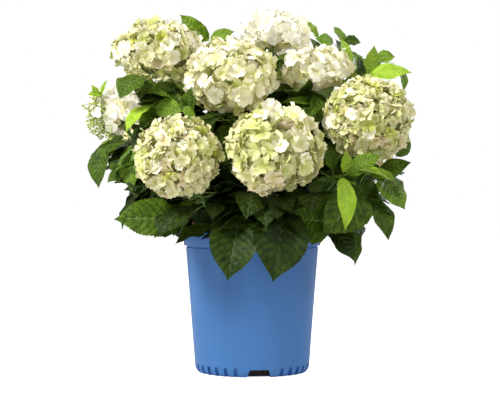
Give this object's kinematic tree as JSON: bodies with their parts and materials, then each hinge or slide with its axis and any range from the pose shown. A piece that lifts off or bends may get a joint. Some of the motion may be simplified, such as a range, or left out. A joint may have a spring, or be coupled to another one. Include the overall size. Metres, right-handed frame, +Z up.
{
  "type": "potted hydrangea shrub",
  "caption": "Mophead hydrangea shrub in a round tapering nursery pot: woody canes, masses of serrated leaves and large cream flower heads, standing on the pot's flat underside.",
  "frame": {"origin": "centre of the pot's flat underside", "axes": "+Z up along the pot's axis, -Y towards the front of the plant"},
  "size_m": [0.6208, 0.5935, 0.6966],
  "materials": {
    "pot": "smooth satin mid-blue moulded plastic",
    "potting_mix": "dark moist bark and peat crumbs",
    "bark": "pale brown ridged bark on woody canes",
    "foliage": "soft green leaves with cream and pale green flower heads"
  },
  "bodies": {
    "root": {"pot": "pot", "potting_mix": "potting_mix", "root_crown": "bark", "cane_top_left": "bark", "cane_top_front": "bark", "cane_top_back": "bark", "cane_top_right": "bark", "cane_right": "bark", "cane_front_left": "bark", "cane_front": "bark", "cane_left": "bark", "cane_back_left": "bark", "cane_back": "bark", "cane_back_right": "bark", "cane_upper_back_left": "bark", "cane_upper_back_right": "bark", "cane_sprig_top_left": "bark", "cane_sprig_top_right": "bark", "cane_sprig_right": "bark", "cane_skirt_front": "bark", "cane_skirt_left": "bark", "cane_skirt_right": "bark", "cane_skirt_far_right": "bark", "foliage_top_left": "foliage", "foliage_top_front": "foliage", "foliage_top_back": "foliage", "foliage_top_right": "foliage", "foliage_right": "foliage", "foliage_front_left": "foliage", "foliage_front": "foliage", "foliage_left": "foliage", "foliage_back_left": "foliage", "foliage_back": "foliage", "foliage_back_right": "foliage", "foliage_upper_back_left": "foliage", "foliage_upper_back_right": "foliage", "foliage_sprig_top_left": "foliage", "foliage_sprig_top_right": "foliage", "foliage_sprig_right": "foliage", "foliage_skirt_front": "foliage", "foliage_skirt_left": "foliage", "foliage_skirt_right": "foliage", "foliage_skirt_far_right": "foliage"}
  },
  "joints": []
}
